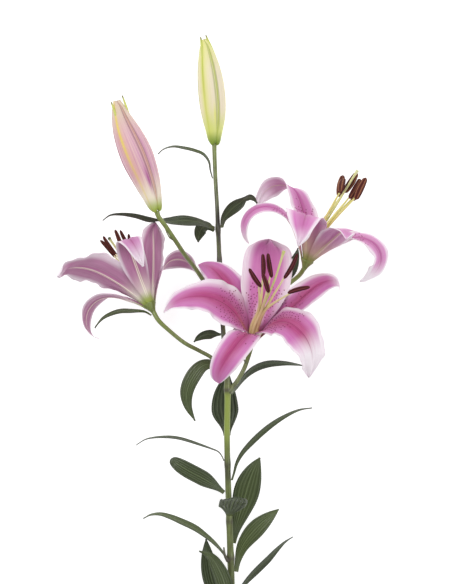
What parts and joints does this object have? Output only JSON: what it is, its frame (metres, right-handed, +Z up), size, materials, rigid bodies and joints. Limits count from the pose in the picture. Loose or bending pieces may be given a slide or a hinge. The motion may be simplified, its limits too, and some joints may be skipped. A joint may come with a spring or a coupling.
{
  "type": "cut lily",
  "caption": "Cut oriental lily stem lying on a surface: open pink blooms with recurved petals, long closed buds, narrow leaves along a green stem.",
  "frame": {"origin": "middle of the spray's outline, on the surface it lies on", "axes": "+Y along the stem from its cut end to the buds, +Z up from the surface, +X to the right"},
  "size_m": [0.3284, 0.6565, 0.1636],
  "materials": {
    "stem": "smooth green stem, faintly waxy, with paler stalks under the blooms",
    "leaf": "dark olive leaf with fine parallel veins, slightly glossy",
    "petal": "soft pink petal, deeper magenta along its middle, white at its edge, matte with a sheen",
    "bud": "yellow-green closed bud with cream panels, matte",
    "pink_bud": "mauve-pink closed bud with pale yellow ribs, matte",
    "pistil": "yellow-green style with a dark sticky stigma",
    "stamen": "pale green filaments, dark red-brown velvety anthers"
  },
  "bodies": {
    "root": {"front_bloom_petal_1": "petal", "front_bloom_sepal_1": "petal", "front_bloom_petal_2": "petal", "front_bloom_sepal_2": "petal", "front_bloom_petal_3": "petal", "front_bloom_sepal_3": "petal", "front_bloom_stamens": "stamen", "front_bloom_pistil": "pistil", "left_bloom_petal_1": "petal", "left_bloom_sepal_1": "petal", "left_bloom_petal_2": "petal", "left_bloom_sepal_2": "petal", "left_bloom_petal_3": "petal", "left_bloom_sepal_3": "petal", "left_bloom_stamens": "stamen", "left_bloom_pistil": "pistil", "right_bloom_petal_1": "petal", "right_bloom_sepal_1": "petal", "right_bloom_petal_2": "petal", "right_bloom_sepal_2": "petal", "right_bloom_petal_3": "petal", "right_bloom_sepal_3": "petal", "right_bloom_stamens": "stamen", "right_bloom_pistil": "pistil", "top_bud": "bud", "left_bud": "pink_bud", "stem": "stem", "top_stalk_bract": "leaf", "whorl_leaf_left": "leaf", "whorl_leaf_right": "leaf", "whorl_leaf_back": "leaf", "middle_leaf": "leaf", "crown_leaf_left": "leaf", "crown_leaf_right": "leaf", "stem_leaf_1": "leaf", "stem_leaf_2": "leaf", "stem_leaf_3": "leaf", "stem_leaf_4": "leaf", "stem_leaf_5": "leaf", "stem_leaf_6": "leaf", "stem_leaf_7": "leaf", "stem_leaf_8": "leaf", "stem_leaf_9": "leaf", "stem_leaf_10": "leaf", "stem_leaf_11": "leaf", "left_bloom_bract": "leaf", "right_bloom_bract": "leaf"}
  },
  "joints": []
}
